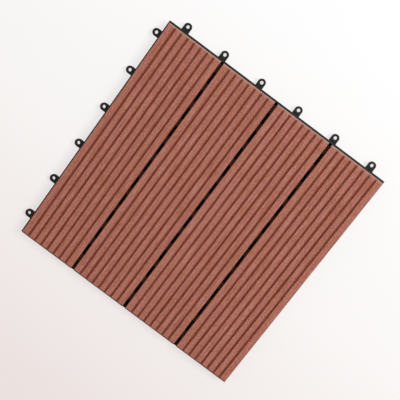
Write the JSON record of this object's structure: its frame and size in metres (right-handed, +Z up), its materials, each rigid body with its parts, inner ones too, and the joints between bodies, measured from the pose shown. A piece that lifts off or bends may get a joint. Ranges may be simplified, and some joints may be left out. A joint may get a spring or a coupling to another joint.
{
  "type": "interlocking deck tile",
  "caption": "Square outdoor floor tile: grooved wood-composite slats screwed onto a dark plastic lattice base with side loops that lock tile to tile.",
  "frame": {"origin": "middle of the slat field, on the ground", "axes": "+Z up, slats along Y, loops on the -X and +Y sides, pegs on the +X and -Y sides"},
  "size_m": [0.3139, 0.3139, 0.022],
  "materials": {
    "slat_composite": "brushed, matte",
    "base_plastic": "moulded, matte",
    "screw_steel": "zinc plated"
  },
  "bodies": {
    "root": {"slat_1": "slat_composite", "slat_2": "slat_composite", "slat_3": "slat_composite", "slat_4": "slat_composite", "base_moulding": "base_plastic", "loops_back": "base_plastic", "loops_left": "base_plastic", "slat_screws": "screw_steel"}
  },
  "joints": []
}
